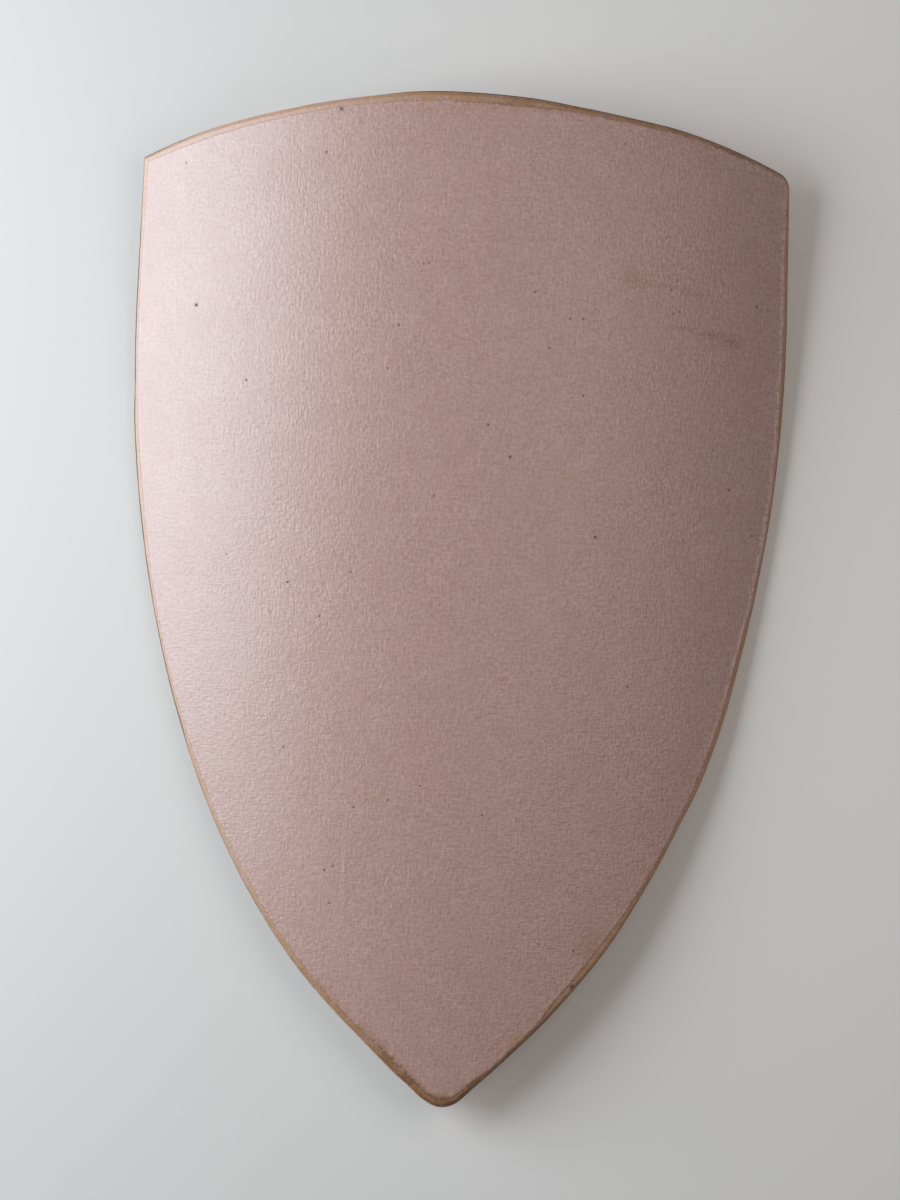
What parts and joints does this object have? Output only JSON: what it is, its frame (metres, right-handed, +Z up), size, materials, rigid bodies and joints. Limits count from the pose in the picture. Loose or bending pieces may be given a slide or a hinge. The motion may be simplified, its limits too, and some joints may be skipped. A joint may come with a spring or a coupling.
{
  "type": "curved kite shield",
  "caption": "Short curved kite shield of the heater form, unpainted, with primed linen over a bent plywood board, lying face up.",
  "frame": {"origin": "on the ground, under the middle of the part's box, as it lies face up on its two long rims", "axes": "+Z up, out of the linen-faced front; +Y towards the arched head, with the point at -Y; X across the shield"},
  "size_m": [0.5054, 0.757, 0.1061],
  "materials": {
    "plywood": "sawn and sanded birch plywood, bare, with glue-brown edges",
    "primed_linen": "pinkish-beige primer, satin, over a fine plain weave"
  },
  "bodies": {
    "root": {"board": "plywood", "linen_facing": "primed_linen"}
  },
  "joints": []
}
